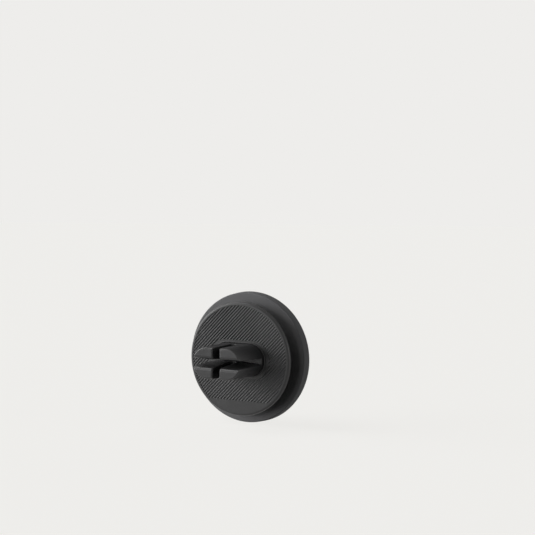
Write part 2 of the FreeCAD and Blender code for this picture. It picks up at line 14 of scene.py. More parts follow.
import bpy
import numpy as np
import openvdb
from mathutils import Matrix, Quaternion, Vector


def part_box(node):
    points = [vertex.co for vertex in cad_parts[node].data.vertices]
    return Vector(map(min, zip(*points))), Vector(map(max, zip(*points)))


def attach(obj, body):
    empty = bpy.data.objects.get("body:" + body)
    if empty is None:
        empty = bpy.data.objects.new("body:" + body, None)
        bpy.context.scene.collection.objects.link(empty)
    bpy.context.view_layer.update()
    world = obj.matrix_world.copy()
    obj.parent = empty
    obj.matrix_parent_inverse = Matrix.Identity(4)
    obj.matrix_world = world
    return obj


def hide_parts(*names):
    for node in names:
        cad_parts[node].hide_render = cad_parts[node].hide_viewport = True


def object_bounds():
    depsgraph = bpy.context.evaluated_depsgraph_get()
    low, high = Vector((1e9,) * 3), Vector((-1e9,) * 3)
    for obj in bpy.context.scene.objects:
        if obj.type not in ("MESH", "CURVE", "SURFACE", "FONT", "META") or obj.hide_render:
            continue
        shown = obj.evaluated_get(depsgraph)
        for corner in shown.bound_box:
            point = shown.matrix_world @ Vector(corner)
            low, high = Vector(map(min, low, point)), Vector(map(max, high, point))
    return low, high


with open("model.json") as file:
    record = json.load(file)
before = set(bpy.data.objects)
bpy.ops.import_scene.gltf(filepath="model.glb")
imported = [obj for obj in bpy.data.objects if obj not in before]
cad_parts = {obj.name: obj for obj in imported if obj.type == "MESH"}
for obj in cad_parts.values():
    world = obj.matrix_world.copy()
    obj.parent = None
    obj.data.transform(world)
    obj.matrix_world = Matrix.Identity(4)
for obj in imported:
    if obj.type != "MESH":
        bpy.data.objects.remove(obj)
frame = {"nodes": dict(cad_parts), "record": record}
CAD_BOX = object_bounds()

LOG = logging.getLogger("vent_mount")
MM = 0.001
Outline = list[tuple[float, float]]
# Span that most values of a noise lie in, and the finer layers of the slow noises and of the grain.
NOISE_SPAN = (0.3, 0.7)
SLOW_DETAIL = 3.0
GRAIN_DETAIL = 2.0
# Phase of a wave texture for each unit of its scale and of the distance.
WAVE_PHASE = 20.0
# Empty cells around a solid that gets a skin, and how often the skin's corners are brought onto it.
SKIN_MARGIN = 3
SKIN_PASSES = 3
# A slope is measured over one of this many parts of a cell, to either side.
SLOPE_STEPS = 20


class Body(Enum):
    """CAD bodies that the new pieces ride on."""

    VENT_HEAD = "vent_head"
    PUCK = "puck"


class Cut(Enum):
    """What happens to a blank where a tool overlaps it."""

    TAKE_AWAY = "DIFFERENCE"
    KEEP_COMMON = "INTERSECT"
    JOIN = "UNION"


class Slot(Enum):
    """Material slots of the record."""

    PAD = "silicone_pad"
    FILM = "adhesive_film"
    INNER = "inner_plastic"
    ZINC = "screw_steel"
    MAGNET = "magnet_nickel"
    PUCK = "puck_plastic"
    BEARING = "bearing_plastic"
    COLLAR = "collar_plastic"
    STUD = "stud_steel"
    DISC = "disc_plastic"
    CLIP = "clip_rubber"


def linear(hex_colour: str) -> tuple[float, float, float, float]:
    """Turns an sRGB colour to linear light.

    Args:
        hex_colour: Six hex digits.

    Returns:
        Red, green, blue and an alpha of 1.
    """
    channels = [int(hex_colour[at:at + 2], 16) / 255 for at in (0, 2, 4)]
    red, green, blue = (
        value / 12.92 if value <= 0.04045 else ((value + 0.055) / 1.055) ** 2.4 for value in channels
    )
    return red, green, blue, 1.0


def add_node(
    tree: bpy.types.NodeTree,
    kind: str,
    values: dict[str, object] | None = None,
    links: dict[str, bpy.types.NodeSocket] | None = None,
    **settings: object,
) -> bpy.types.Node:
    """Adds a node with its settings and links.

    Args:
        tree: Node tree that gets the node.
        kind: Blender's name for the kind of node.
        values: Constant values by input socket.
        links: Source sockets by input socket.
        settings: Properties of the node.

    Returns:
        The new node.
    """
    node = tree.nodes.new(kind)
    for name, setting in settings.items():
        setattr(node, name, setting)
    for name, value in (values or {}).items():
        node.inputs[name].default_value = value
    for name, source in (links or {}).items():
        tree.links.new(source, node.inputs[name])
    return node


def new_material(name: str) -> tuple[bpy.types.Material, bpy.types.NodeTree]:
    """Makes a material without nodes.

    Args:
        name: What it is made of, and how.

    Returns:
        The material and its node tree.
    """
    made = bpy.data.materials.new(name)
    made.use_nodes = True
    made.node_tree.nodes.clear()
    return made, made.node_tree


def add_noise(
    tree: bpy.types.NodeTree, place: bpy.types.NodeSocket, size_mm: float, detail: float
) -> bpy.types.NodeSocket:
    """Adds a noise.

    Args:
        tree: Node tree that gets it.
        place: Socket of its coordinates in metres.
        size_mm: Size of its cells.
        detail: How many finer layers it has.

    Returns:
        The socket of its values.
    """
    node = add_node(
        tree, "ShaderNodeTexNoise", {"Scale": 1 / (size_mm * MM), "Detail": detail}, {"Vector": place}
    )
    return node.outputs["Fac"]


def add_gloss(
    tree: bpy.types.NodeTree, pattern: bpy.types.NodeSocket, roughness: float, spread: float
) -> bpy.types.NodeSocket:
    """Adds a roughness that varies with a noise.

    Args:
        tree: Node tree that gets it.
        pattern: Socket of the noise.
        roughness: Its mean.
        spread: How far it goes to either side.

    Returns:
        The socket of its values.
    """
    node = add_node(
        tree,
        "ShaderNodeMapRange",
        {
            "From Min": NOISE_SPAN[0],
            "From Max": NOISE_SPAN[1],
            "To Min": roughness - spread,
            "To Max": roughness + spread,
        },
        {"Value": pattern},
    )
    return node.outputs["Result"]


@dataclass(frozen=True)
class Moulded:
    """A surface that took its texture from a mould: a fine grain over slow changes of gloss and tone."""

    name: str
    colour: str
    roughness: float
    ior: float
    specular: float
    grain_mm: float
    grain_depth_mm: float
    grain_strength: float = 0.5
    sheen: float = 0.0
    sheen_roughness: float = 0.6
    mottle_mm: float = 9.0
    roughness_spread: float = 0.05
    tone_spread: float = 0.06

    def material(self) -> bpy.types.Material:
        """Makes the material.

        Returns:
            A material with grain in its bump and a slow mottle in its roughness and colour.
        """
        made, tree = new_material(self.name)
        place = add_node(tree, "ShaderNodeTexCoord").outputs["Object"]
        mottle = add_noise(tree, place, self.mottle_mm, SLOW_DETAIL)
        grain = add_noise(tree, place, self.grain_mm, GRAIN_DETAIL)
        tone = add_node(tree, "ShaderNodeValToRGB", links={"Fac": mottle})
        base = linear(self.colour)
        for stop, at, shift in zip(tone.color_ramp.elements, NOISE_SPAN, (-1, 1)):
            stop.position = at
            stop.color = [value * (1 + shift * self.tone_spread) for value in base[:3]] + [1.0]
        bump = add_node(
            tree,
            "ShaderNodeBump",
            {"Strength": self.grain_strength, "Distance": self.grain_depth_mm * MM},
            {"Height": grain},
        )
        shader = add_node(
            tree,
            "ShaderNodeBsdfPrincipled",
            {
                "IOR": self.ior,
                "Specular IOR Level": self.specular,
                "Sheen Weight": self.sheen,
                "Sheen Roughness": self.sheen_roughness,
            },
            {
                "Base Color": tone.outputs["Color"],
                "Roughness": add_gloss(tree, mottle, self.roughness, self.roughness_spread),
                "Normal": bump.outputs["Normal"],
            },
        )
        add_node(tree, "ShaderNodeOutputMaterial", links={"Surface": shader.outputs["BSDF"]})
        return made


@dataclass(frozen=True)
class Metal:
    """A plated or turned metal surface: tool rings around the ball's axis and cloudy gloss."""

    name: str
    colour: str
    roughness: float
    ring_mm: float
    ring_depth_mm: float
    ring_strength: float = 0.4
    ring_wobble: float = 0.6
    ring_detail: float = 1.0
    cloud_mm: float = 3.0
    roughness_spread: float = 0.08

    def material(self) -> bpy.types.Material:
        """Makes the material.

        Returns:
            A metal with turned rings in its bump and clouds in its roughness.
        """
        made, tree = new_material(self.name)
        place = add_node(tree, "ShaderNodeTexCoord").outputs["Object"]
        cloud = add_noise(tree, place, self.cloud_mm, SLOW_DETAIL)
        # One ring takes two pi of the wave's phase.
        rings = add_node(
            tree,
            "ShaderNodeTexWave",
            {
                "Scale": 2 * math.pi / (WAVE_PHASE * self.ring_mm * MM),
                "Distortion": self.ring_wobble,
                "Detail": self.ring_detail,
            },
            {"Vector": place},
            wave_type="RINGS",
            rings_direction="Y",
        )
        bump = add_node(
            tree,
            "ShaderNodeBump",
            {"Strength": self.ring_strength, "Distance": self.ring_depth_mm * MM},
            {"Height": rings.outputs["Fac"]},
        )
        shader = add_node(
            tree,
            "ShaderNodeBsdfPrincipled",
            {"Base Color": linear(self.colour), "Metallic": 1.0},
            {
                "Roughness": add_gloss(tree, cloud, self.roughness, self.roughness_spread),
                "Normal": bump.outputs["Normal"],
            },
        )
        add_node(tree, "ShaderNodeOutputMaterial", links={"Surface": shader.outputs["BSDF"]})
        return made


# The real grains are 0.05 to 0.15 mm across, which no picture of the whole part shows, so each is drawn
# several times as coarse and still reads as the soft, even surface that a mould leaves.
FINISHES: dict[Slot, Moulded | Metal] = {
    # Spark-eroded mould: a matte mid grey that goes softly from light to shade, with a faint grain.
    Slot.PUCK: Moulded(
        "pc_abs_moulded_matte", "6f6f70",
        roughness=0.78, ior=1.55, specular=0.15, grain_mm=0.35, grain_depth_mm=0.02,
    ),
    # Blasted mould: a darker satin that catches light along the rib crests, the lip and the rim's edge.
    Slot.DISC: Moulded(
        "pc_abs_moulded_satin", "2c2c2d",
        roughness=0.4, ior=1.55, specular=0.35, grain_mm=0.4, grain_depth_mm=0.03,
    ),
    # Soft moulded rubber: a dark grey with a soft shine on its flat ends and its rounded edges.
    Slot.CLIP: Moulded(
        "tpe_rubber_moulded_satin", "323233",
        roughness=0.34, ior=1.5, specular=0.4, grain_mm=0.5, grain_depth_mm=0.02,
    ),
    # Silicone sheet from a textured plate: a dull, slightly pebbled dark grey.
    Slot.PAD: Moulded(
        "silicone_sheet_pebbled", "3c3c3d",
        roughness=0.68, ior=1.43, specular=0.3, grain_mm=0.6, grain_depth_mm=0.05,
        grain_strength=0.7, sheen=0.05,
    ),
    # Pressure-sensitive film: pale and smooth, seen only as a hairline.
    Slot.FILM: Moulded(
        "acrylic_adhesive_coated", "cfcfcb",
        roughness=0.35, ior=1.48, specular=0.5, grain_mm=1.2, grain_depth_mm=0.01,
    ),
    # Inner mouldings: plain matte black.
    Slot.INNER: Moulded(
        "abs_moulded_black", "262627",
        roughness=0.55, ior=1.54, specular=0.35, grain_mm=0.4, grain_depth_mm=0.03,
    ),
    # Black acetal: as dark, with a waxy gloss.
    Slot.COLLAR: Moulded(
        "acetal_moulded_black", "28282a",
        roughness=0.45, ior=1.48, specular=0.4, grain_mm=0.4, grain_depth_mm=0.02,
    ),
    # Natural acetal: milky white with the same waxy gloss.
    Slot.BEARING: Moulded(
        "acetal_moulded_natural", "bdbdb8",
        roughness=0.38, ior=1.48, specular=0.5, grain_mm=0.5, grain_depth_mm=0.01,
    ),
    # Bright zinc: a pale, slightly cloudy metal.
    Slot.ZINC: Metal("steel_zinc_plated", "c4c5c6", roughness=0.32, ring_mm=0.25, ring_depth_mm=0.006),
    # Nickel over the pressed magnets: warm and bright.
    Slot.MAGNET: Metal(
        "neodymium_nickel_plated", "cfccc4", roughness=0.22, ring_mm=0.4, ring_depth_mm=0.004
    ),
    # Black oxide over turned steel: dark, with an oily gloss and fine tool rings.
    Slot.STUD: Metal(
        "steel_turned_black_oxide", "4f5052", roughness=0.34, ring_mm=0.22, ring_depth_mm=0.008
    ),
}


def to_metres(points: np.ndarray) -> np.ndarray:
    """Turns x, level, z in millimetres to the row frame in metres."""
    return np.asarray(points, float) * (MM, -MM, MM)


def node_span(node: str) -> tuple[np.ndarray, np.ndarray]:
    """Finds the room that a CAD node takes.

    Args:
        node: Name of the node.

    Returns:
        Its least and greatest x, level and z in millimetres.
    """
    low, high = (np.array(corner, float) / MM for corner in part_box(node))
    return np.array([low[0], -high[1], low[2]]), np.array([high[0], -low[1], high[2]])


def new_object(name: str, points: np.ndarray, faces: list[list[int]]) -> bpy.types.Object:
    """Makes a mesh object in the scene.

    Args:
        name: Name of the object and its mesh.
        points: Corners as x, level, z in millimetres.
        faces: Corner numbers of each face, anticlockwise seen from outside.

    Returns:
        The object, at the origin of the row frame.
    """
    mesh = bpy.data.meshes.new(name)
    mesh.from_pydata(to_metres(points).tolist(), [], faces)
    mesh.validate()
    made = bpy.data.objects.new(name, mesh)
    bpy.context.scene.collection.objects.link(made)
    return made


def turned(name: str, profile: Outline, steps: int) -> bpy.types.Object:
    """Turns a half section about the puck's axis.

    Args:
        name: Name of the object.
        profile: Radius and level of each corner, from the axis outwards over the vent side and back
            to the axis on the phone side. The first and the last corner lie on the axis.
        steps: Corners around the axis.

    Returns:
        A closed solid.
    """
    angles = np.arange(steps) * 2 * math.pi / steps
    rings = [
        np.column_stack((radius * np.cos(angles), np.full(steps, level), radius * np.sin(angles)))
        for radius, level in profile[1:-1]
    ]
    points = np.vstack(rings + [[(0, profile[0][1], 0)], [(0, profile[-1][1], 0)]])
    first, last = len(points) - 2, len(points) - 1
    faces: list[list[int]] = []
    for here in range(steps):
        after = (here + 1) % steps
        faces.append([first, here, after])
        for ring in range(len(rings) - 1):
            inner, outer = ring * steps, (ring + 1) * steps
            faces.append([inner + here, outer + here, outer + after, inner + after])
        end = (len(rings) - 1) * steps
        faces.append([end + here, last, end + after])
    return new_object(name, points, faces)


def prism(name: str, outline: Outline, low: float, high: float) -> bpy.types.Object:
    """Raises an outline into a solid.

    Args:
        name: Name of the object.
        outline: Corners as x and z, anticlockwise seen from the vent.
        low: Level of the end at the phone.
        high: Level of the end at the vent.

    Returns:
        A closed solid.
    """
    count = len(outline)
    points = [(x, level, z) for level in (low, high) for x, z in outline]
    faces = [list(range(count))[::-1], list(range(count, 2 * count))]
    for here in range(count):
        after = (here + 1) % count
        faces.append([here, after, count + after, count + here])
    return new_object(name, np.array(points), faces)


def oblong(half_length: float, half_height: float, end_steps: int) -> Outline:
    """Draws an oblong with half-round ends.

    Args:
        half_length: Half its length along X.
        half_height: Half its height along Z, which is the radius of its ends.
        end_steps: Straight steps around each end.

    Returns:
        Corners as x and z, anticlockwise seen from the vent.
    """
    corners: Outline = []
    for side in (1, -1):
        for step in range(end_steps + 1):
            angle = math.pi * (step / end_steps - 0.5)
            corners.append((
                side * (half_length - half_height + half_height * math.cos(angle)),
                side * half_height * math.sin(angle),
            ))
    return corners


def arc(centre: tuple[float, float], radius: float, start: float, end: float, steps: int) -> Outline:
    """Draws part of a circle.

    Args:
        centre: Its centre.
        radius: Its radius.
        start: Angle of the first corner in degrees.
        end: Angle of the last corner in degrees.
        steps: Straight steps along it.

    Returns:
        The corners from start to end.
    """
    angles = np.radians(np.linspace(start, end, steps + 1))
    return [
        (centre[0] + radius * math.cos(angle), centre[1] + radius * math.sin(angle)) for angle in angles
    ]


def machine(blank: bpy.types.Object, tool: bpy.types.Object, cut: Cut) -> None:
    """Cuts a blank with a tool, or joins them, and removes the tool.

    Args:
        blank: Object that is changed.
        tool: Closed solid that is used up.
        cut: What happens where they overlap.
    """
    step = blank.modifiers.new("machine", "BOOLEAN")
    step.object = tool
    step.operation = cut.value
    step.solver = "EXACT"
    graph = bpy.context.evaluated_depsgraph_get()
    result = bpy.data.meshes.new_from_object(blank.evaluated_get(graph))
    blank.modifiers.clear()
    before = blank.data
    result.name = blank.name
    blank.data = result
    bpy.data.meshes.remove(before)
    bpy.data.meshes.remove(tool.data)


def smooth_below(piece: bpy.types.Object, degrees: float) -> None:
    """Shades a piece smooth, with a sharp edge where faces meet at more than an angle."""
    piece.data.shade_smooth()
    piece.data.set_sharp_from_angle(angle=math.radians(degrees))


def oblong_distance(
    x: np.ndarray, z: np.ndarray, half_length: np.ndarray | float, half_height: np.ndarray | float
) -> np.ndarray:
    """Measures how far points lie outside an oblong.

    Args:
        x: Distances from the middle along X, none negative.
        z: Distances from the middle along Z.
        half_length: Half the oblong's length.
        half_height: Half its height.

    Returns:
        The distances, negative inside.
    """
    return np.hypot(np.maximum(x - half_length + half_height, 0), z) - half_height


def rounded_common(first: np.ndarray, second: np.ndarray, radius: np.ndarray | float) -> np.ndarray:
    """Finds what two solids share, with a round where their faces meet.

    Args:
        first: Distances outside one solid.
        second: Distances outside the other.
        radius: Radius of the round.

    Returns:
        The distances outside what they share.
    """
    inside = np.minimum(np.maximum(first, second), -radius)
    return inside + np.hypot(np.maximum(first + radius, 0), np.maximum(second + radius, 0))


def ease(value: np.ndarray, start: float, end: float) -> np.ndarray:
    """Goes smoothly from 0 at start to 1 at end."""
    share = np.clip((value - start) / (end - start), 0, 1)
    return share * share * (3 - 2 * share)


def skinned(
    name: str,
    distance: Callable[[np.ndarray], np.ndarray],
    low: np.ndarray,
    high: np.ndarray,
    spacing: float,
) -> bpy.types.Object:
    """Makes the skin of a solid that is given by its distances.

    Args:
        name: Name of the object.
        distance: Gives how far points, as x, level, z, lie outside the solid.
        low: Least x, level and z of the solid.
        high: Greatest x, level and z of the solid.
        spacing: Size of the skin's faces.

    Returns:
        A closed skin with its corners on the solid and its normals from it.
    """
    start = low - SKIN_MARGIN * spacing
    counts = np.ceil((high - low) / spacing).astype(int) + 2 * SKIN_MARGIN + 1
    axes = [start[axis] + spacing * np.arange(counts[axis]) for axis in range(3)]
    samples = np.stack(np.meshgrid(*axes, indexing="ij"), axis=-1)
    volume = openvdb.FloatGrid(float(high[0]))
    volume.copyFromArray(distance(samples).astype(np.float32))
    corners, quads = volume.convertToQuads(0.0)
    points = start + spacing * corners.astype(float)

    def slopes(at: np.ndarray) -> np.ndarray:
        """Gives the distance's slope along each axis."""
        nudges = np.eye(3) * spacing / SLOPE_STEPS
        parts = [distance(at + nudge) - distance(at - nudge) for nudge in nudges]
        slope = np.stack(parts, axis=-1)
        return slope / np.linalg.norm(slope, axis=-1, keepdims=True)

    for _ in range(SKIN_PASSES):
        points -= distance(points)[:, None] * slopes(points)
    made = new_object(name, points, quads.astype(int).tolist())
    outward = slopes(points) * (1, -1, 1)
    face = made.data.polygons[0]
    if face.normal.dot(Vector(outward[face.vertices[0]])) < 0:
        made.data.flip_normals()
    made.data.shade_smooth()
    made.data.normals_split_custom_set_from_vertices(outward.tolist())
    return made


@dataclass
class VentClip:
    """Rubber clip: a flanged oblong stem that two crossing slots split into four prongs."""

    low: np.ndarray
    high: np.ndarray
    stem_level: float
    stem_half_length: float = 12.8
    stem_half_height: float = 7.0
    side_taper: float = 1.15
    top_taper: float = 0.35
    flange_thickness: float = 0.8
    cross_root: float = 2.1
    cross_middle_half: float = 0.3
    cross_side_half: float = 1.35
    cross_half: float = 1.75
    cross_mouth_round: float = 1.5
    upright_root: float = 3.5
    upright_half: float = 1.62
    upright_mouth_round: float = 0.8
    tip_edge_round: float = 0.5
    tip_round_reach: float = 4.0
    slot_round_reach: float = 3.0
    edge_round: float = 0.3
    stud_room_radius: float = 3.9
    stud_room_depth: float = 1.75
    face_size: float = 0.21

    @classmethod
    def from_frame(cls, disc: "RibbedDisc") -> "VentClip":
        """Takes the clip's room from its CAD node and the start of its stem from the disc."""
        low, high = node_span("vent_clip")
        return cls(low, high, disc.front_level)

    def distance(self, points: np.ndarray) -> np.ndarray:
        """Measures how far points lie outside the rubber.

        Args:
            points: Points as x, level, z.

        Returns:
            The distances, negative inside.
        """
        x, level, z = np.abs(points[..., 0]), points[..., 1], np.abs(points[..., 2])
        flange_level, tip_level = self.low[1], self.high[1]
        share = np.clip((level - self.stem_level) / (tip_level - self.stem_level), 0, 1)
        half_length = self.stem_half_length - self.side_taper * share
        half_height = self.stem_half_height - self.top_taper * share
        side = oblong_distance(x, z, half_length, half_height)
        cross_root = self.stem_level + self.cross_root
        mouth_start = tip_level - self.cross_mouth_round
        # The slot is a narrow wedge in the middle of the clip and nearly parallel at its two sides.
        halves = (self.cross_middle_half, self.cross_side_half)
        root_half = np.interp(x, (0, self.stem_half_length), halves)
        opening = np.interp(level, (cross_root, mouth_start), (0, 1))
        cross_half = root_half + (self.cross_half - root_half) * opening
        cross = np.minimum(cross_half - z, level - cross_root)
        front = rounded_common(level - tip_level, cross, self.cross_mouth_round)

        upright_end = self.stem_level + self.upright_root + self.upright_half
        upright = self.upright_half - np.hypot(x, np.maximum(upright_end - level, 0))
        prongs = rounded_common(side, upright, self.edge_round)
        tip_start = tip_level - self.tip_round_reach * self.tip_edge_round
        near_tip = ease(level, tip_start, tip_level - self.tip_edge_round)
        slot_end = self.slot_round_reach * self.upright_half
        near_slot = 1 - ease(x, self.upright_half + self.upright_mouth_round, slot_end)
        tip_round = self.tip_edge_round + (self.upright_mouth_round - self.tip_edge_round) * near_slot
        stem = rounded_common(front, prongs, self.edge_round + (tip_round - self.edge_round) * near_tip)
        stem = np.maximum(stem, flange_level - level)

        half_flange = self.flange_thickness / 2
        flange = np.maximum(
            oblong_distance(x, z, self.high[0], self.high[2]),
            np.abs(level - flange_level - half_flange) - half_flange,
        )
        stud_room = np.maximum(
            np.hypot(x, z) - self.stud_room_radius, level - flange_level - self.stud_room_depth
        )
        return np.maximum(np.minimum(stem, flange), -stud_room)

    def build(self, materials: dict[Slot, bpy.types.Material]) -> bpy.types.Object:
        """Builds the clip in place of its CAD node.

        Args:
            materials: Materials by slot.

        Returns:
            The clip.
        """
        clip = skinned("clip_moulding", self.distance, self.low, self.high, self.face_size)
        clip.data.materials.append(materials[Slot.CLIP])
        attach(clip, Body.VENT_HEAD.value)
        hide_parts("vent_clip")
        return clip


@dataclass
class RibbedDisc:
    """Cover of the vent-side disc: slanted ribs, a smooth rim, a plain segment and the clip's border."""

    radius: float
    skirt_level: float
    lip_level: float
    lip_height: float = 0.5
    lip_width: float = 0.55
    lip_round: float = 0.25
    thickness: float = 1.1
    skirt_wall: float = 1.15
    edge_round: float = 1.1
    rim_width: float = 1.5
    segment_height: float = 5.3
    hole_half_length: float = 12.85
    hole_half_height: float = 7.05
    border_half_length: float = 15.2
    border_half_height: float = 8.3
    rib_pitch: float = 1.1
    rib_angle: float = 45.0
    groove_count: int = 43
    groove_depth: float = 0.3
    groove_mouth: float = 0.88
    groove_floor: float = 0.14
    crest_round: float = 0.3
    crest_sink: float = 0.95
    crest_steps: int = 6
    floor_round: float = 0.08
    floor_steps: int = 4
    overrun: float = 0.4
    tool_margin: float = 1.0
    lip_steps: int = 5
    round_steps: int = 14
    turn_steps: int = 256
    end_steps: int = 64
    sharp_angle: float = 14.0

    @classmethod
    def from_frame(cls) -> "RibbedDisc":
        """Takes the disc's radius and its depth from its CAD node."""
        low, high = node_span("ribbed_cover")
        return cls(high[2], low[1], high[1])

    @property
    def front_level(self) -> float:
        """Level of the disc's flat front."""
        return self.lip_level - self.lip_height

    def blank(self) -> bpy.types.Object:
        """Turns the plain cover.

        Returns:
            A shallow cup with a rounded front edge.
        """
        back = self.front_level - self.thickness
        inner = self.radius - self.skirt_wall
        land = self.radius - self.edge_round
        edge = arc((land, self.front_level - self.edge_round), self.edge_round, 90, 0, self.round_steps)
        profile = [(0.0, self.front_level), (land - self.overrun, self.front_level)] + edge
        profile += [
            (self.radius, self.skirt_level),
            (inner, self.skirt_level),
            (inner, back),
            (0.0, back),
        ]
        return turned("ribbed_disc", profile, self.turn_steps)

    def groove_section(self) -> Outline:
        """Draws one groove between two ribs, with rounded crests and a rounded floor.

        Returns:
            Corners as distance across the groove and height over the disc's front.
        """
        lean = math.degrees(math.atan2((self.groove_mouth - self.groove_floor) / 2, self.groove_depth))
        reach = math.tan(math.radians(90 - lean) / 2)
        # The crest's centre is sunk by less than its radius, so that the cut leaves no sliver on the front.
        crest = arc(
            (self.groove_mouth / 2 + self.crest_round * reach, -self.crest_sink * self.crest_round),
            self.crest_round, 90, 180 - lean, self.crest_steps,
        )
        floor = arc(
            (self.groove_floor / 2 - self.floor_round * reach, -self.groove_depth + self.floor_round),
            self.floor_round, -lean, -90, self.floor_steps,
        )
        top = [(crest[0][0], self.overrun)]
        right = top + crest + floor
        left = [(-across, height) for across, height in reversed(right)]
        return right + left

    def grooves(self) -> bpy.types.Object:
        """Makes the tool that cuts all the grooves at once.

        Returns:
            Bars that follow the ribs and end at the outline of the ribbed field.
        """
        section = self.groove_section()
        count = len(section)
        slant = math.radians(self.rib_angle)
        along = np.array([math.cos(slant), 0, math.sin(slant)])
        across = np.array([math.sin(slant), 0, -math.cos(slant)])
        points: list[np.ndarray] = []
        faces: list[list[int]] = []
        for index in range(self.groove_count):
            offset = (index - (self.groove_count - 1) / 2) * self.rib_pitch
            first = len(points)
            for end in (-self.radius, self.radius):
                for distance, height in section:
                    level = np.array([0, self.front_level + height, 0])
                    points.append(end * along + (offset + distance) * across + level)
            faces.append(list(range(first, first + count)))
            faces.append(list(range(first + count, first + 2 * count))[::-1])
            for here in range(count):
                after = (here + 1) % count
                faces.append([first + after, first + here, first + count + here, first + count + after])
        bars = new_object("groove_bars", np.array(points), faces)

        low, high = self.front_level - 2 * self.groove_depth, self.front_level + 2 * self.overrun
        field_radius = self.radius - self.rim_width
        chord = math.degrees(math.asin((field_radius - self.segment_height) / field_radius))
        outline = arc((0.0, 0.0), field_radius, -chord, 180 + chord, self.turn_steps)
        field = prism("rib_field", outline, low, high)
        border = oblong(self.border_half_length, self.border_half_height, self.end_steps)
        inset = prism("clip_border", border, low - self.tool_margin, high + self.tool_margin)
        machine(field, inset, Cut.TAKE_AWAY)
        machine(bars, field, Cut.KEEP_COMMON)
        return bars

    def lip(self) -> bpy.types.Object:
        """Makes the raised lip around the clip's stem.

        Returns:
            A closed band with a rounded top that reaches into the cover.
        """
        back = self.front_level - self.thickness / 2
        top = self.lip_level - self.lip_round
        section = [(0.0, back)]
        section += arc((self.lip_round, top), self.lip_round, 180, 90, self.lip_steps)
        section += arc((self.lip_width - self.lip_round, top), self.lip_round, 90, 0, self.lip_steps)
        section += [(self.lip_width, back)]
        points: list[tuple[float, float, float]] = []
        for offset, level in section:
            outline = oblong(self.hole_half_length + offset, self.hole_half_height + offset, self.end_steps)
            points += [(x, level, z) for x, z in outline]
        count = len(points) // len(section)
        faces: list[list[int]] = []
        for ring in range(len(section)):
            inner, outer = ring * count, (ring + 1) % len(section) * count
            for here in range(count):
                after = (here + 1) % count
                faces.append([inner + after, inner + here, outer + here, outer + after])
        return new_object("clip_lip", np.array(points), faces)

    def build(self, materials: dict[Slot, bpy.types.Material]) -> bpy.types.Object:
        """Builds the cover in place of its CAD node.

        Args:
            materials: Materials by slot.

        Returns:
            The cover.
        """
        cover = self.blank()
        machine(cover, self.grooves(), Cut.TAKE_AWAY)
        half_lip = self.lip_width / 2
        hole = oblong(self.hole_half_length + half_lip, self.hole_half_height + half_lip, self.end_steps)
        punch = prism("clip_hole", hole, self.skirt_level, self.lip_level + self.tool_margin)
        machine(cover, punch, Cut.TAKE_AWAY)
        machine(cover, self.lip(), Cut.JOIN)
        smooth_below(cover, self.sharp_angle)
        cover.data.materials.clear()
        cover.data.materials.append(materials[Slot.DISC])
        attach(cover, Body.VENT_HEAD.value)
        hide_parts("ribbed_cover")
        return cover


@dataclass
class PhonePad:
    """Silicone pad that the phone's back rests on."""

    radius: float
    thickness: float
    edge_round: float = 0.25
    land: float = 0.6
    round_steps: int = 10
    turn_steps: int = 256
    sharp_angle: float = 30.0

    @classmethod
    def from_frame(cls) -> "PhonePad":
        """Takes the pad's radius and thickness from its CAD node."""
        low, high = node_span("phone_pad")
        return cls(high[2], high[1] - low[1])

    def build(self, materials: dict[Slot, bpy.types.Material]) -> bpy.types.Object:
        """Builds the pad in place of its CAD node.

        Args:
            materials: Materials by slot.

        Returns:
            The pad.
        """
        flat = self.radius - self.edge_round
        edge = arc((flat, self.edge_round), self.edge_round, 0, -90, self.round_steps)
        profile = [(0.0, self.thickness), (self.radius, self.thickness)] + edge
        profile += [(flat - self.land, 0.0), (0.0, 0.0)]
        pad = turned("silicone_phone_pad", profile, self.turn_steps)
        smooth_below(pad, self.sharp_angle)
        pad.data.materials.append(materials[Slot.PAD])
        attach(pad, Body.PUCK.value)
        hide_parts("phone_pad")
        return pad


@dataclass
class Mechanism:
    """CAD pieces that stay as they are: the puck's shell, what it holds, and the ball joint."""

    def dress(self, materials: dict[Slot, bpy.types.Material]) -> list[str]:
        """Gives every CAD node the material of its slot.

        Args:
            materials: Materials by slot.

        Returns:
            Names of the dressed nodes.
        """
        dressed: list[str] = []
        for row in frame["record"]["subparts"]:
            piece = frame["nodes"][row["node"]]
            for holder in piece.material_slots:
                holder.material = materials[Slot(row["material_slot"])]
            dressed.append(row["node"])
        return dressed


@dataclass(frozen=True)
class Softbox:
    """A far, round softbox: where it hangs, how wide it looks in degrees, and its light on the part."""

    name: str
    azimuth: float
    elevation: float
    width: float
    light: float


